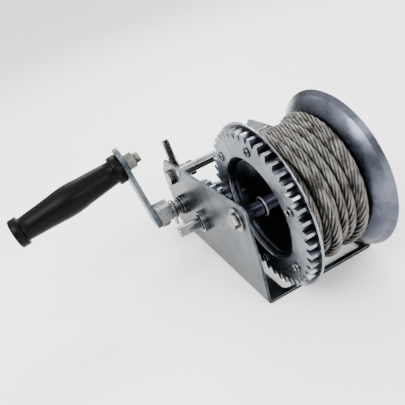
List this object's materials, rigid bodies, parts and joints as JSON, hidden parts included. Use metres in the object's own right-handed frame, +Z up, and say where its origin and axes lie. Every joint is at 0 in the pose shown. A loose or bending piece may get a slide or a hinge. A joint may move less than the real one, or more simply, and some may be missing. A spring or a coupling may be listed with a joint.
{
  "type": "boat trailer winch",
  "caption": "Two-speed geared hand winch for a boat trailer: channel frame, flanged drum with wire rope, spur gears, ratchet and pawl, and a crank with a spinning grip.",
  "frame": {"origin": "centre of the base's length and width, on its underside", "axes": "+X along the drum axis, away from the crank; +Y from the drum end towards the crank shaft end; +Z up, out of the base"},
  "size_m": [0.328, 0.285, 0.176],
  "materials": {
    "zinc_plate": "bright zinc plate, satin",
    "zinc_bright": "bright zinc plate",
    "drum_plate": "zinc plate, glossy",
    "gear_steel": "cut steel, zinc plated",
    "black_steel": "black oxide, satin",
    "wire_rope": "stranded galvanised wire",
    "ferrule_alloy": "swaged, satin",
    "grip_black": "moulded, semi-gloss"
  },
  "bodies": {
    "frame": {"frame": "zinc_plate", "tie_rod": "zinc_bright", "axle_bolt": "zinc_bright", "axle_nut": "zinc_bright", "axle_washers": "zinc_bright", "axle_sleeve": "zinc_bright", "drum_spacer": "zinc_bright", "crank_shaft_bushes": "zinc_bright", "drive_shaft_bushes": "zinc_bright", "pawl_bolt": "zinc_bright", "pawl_sleeve": "zinc_bright", "pawl_nut": "zinc_bright", "pawl_spring": "zinc_bright"},
    "drum": {"drum_gear": "gear_steel", "left_flange": "drum_plate", "flange_rivets": "zinc_bright", "drum_barrel": "drum_plate", "hub_tube": "zinc_bright", "right_flange": "drum_plate", "rope_winding": "wire_rope", "rope_tail": "wire_rope", "rope_clamp": "zinc_bright", "clamp_screw": "zinc_bright", "rope_ferrule": "ferrule_alloy"},
    "drive_shaft": {"drive_shaft": "zinc_bright", "drive_shaft_clips": "black_steel", "drive_pinion": "gear_steel", "middle_gear": "gear_steel"},
    "crank": {"crank_shaft": "zinc_bright", "crank_shaft_clip": "black_steel", "crank_washers": "black_steel", "crank_spacer": "zinc_bright", "crank_pinion": "gear_steel", "ratchet_wheel": "gear_steel", "crank_keeper": "zinc_bright", "crank_socket": "zinc_bright", "crank_lock_bolt": "zinc_bright", "crank_arm": "zinc_plate", "grip_bolt": "zinc_bright", "grip_nut": "zinc_bright"},
    "pawl": {"pawl": "zinc_bright"},
    "grip": {"grip": "grip_black"}
  },
  "joints": [
    {"name": "drum_spin", "type": "hinge", "parent": "frame", "child": "drum", "pos_m": [0, -0.092, 0.094], "axis": [1, 0, 0], "continuous": true},
    {"name": "drive_spin", "type": "hinge", "parent": "frame", "child": "drive_shaft", "pos_m": [0, 0.00368, 0.051], "axis": [1, 0, 0], "continuous": true},
    {"name": "crank_spin", "type": "hinge", "parent": "frame", "child": "crank", "pos_m": [0, 0.05808, 0.051], "axis": [1, 0, 0], "continuous": true},
    {"name": "pawl_swing", "type": "hinge", "parent": "frame", "child": "pawl", "pos_m": [-0.0546, 0.074, 0.0825], "axis": [1, 0, 0], "range_deg": [-14, 8]},
    {"name": "grip_spin", "type": "hinge", "parent": "crank", "child": "grip", "pos_m": [-0.11486, 0.05808, 0.12824], "axis": [-0.9903, 0, -0.1392], "continuous": true}
  ],
  "couplings": [
    {"joint": "drive_spin", "follows": "drum_spin", "ratio": -2.5},
    {"joint": "crank_spin", "follows": "drum_spin", "ratio": 6}
  ]
}
